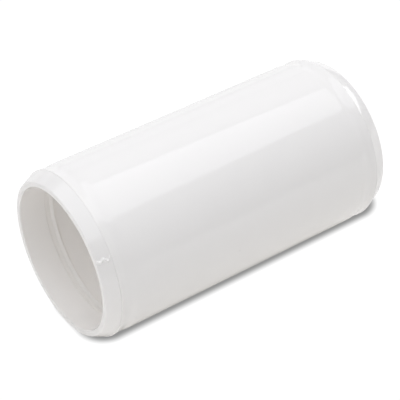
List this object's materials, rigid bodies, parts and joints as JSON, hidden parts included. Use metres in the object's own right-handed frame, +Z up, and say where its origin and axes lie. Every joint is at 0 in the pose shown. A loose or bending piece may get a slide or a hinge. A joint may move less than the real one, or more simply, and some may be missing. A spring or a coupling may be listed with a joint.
{
  "type": "push fit coupling",
  "caption": "Straight white push fit pipe coupling with a sealed socket at each end and a central pipe stop.",
  "frame": {"origin": "on the bore's axis, half way between the two mouths", "axes": "+X along the bore's axis towards the right-hand mouth, +Z up when the coupling lies on its side"},
  "size_m": [0.049, 0.0254, 0.0254],
  "materials": {
    "body": "moulded white plastic, smooth gloss",
    "end_ring": "moulded white plastic, smooth gloss",
    "seal": "soft pale grey elastomer, satin"
  },
  "bodies": {
    "root": {"coupling_body": "body", "end_ring_left": "end_ring", "end_ring_right": "end_ring", "sealing_ring_left": "seal", "sealing_ring_right": "seal"}
  },
  "joints": []
}
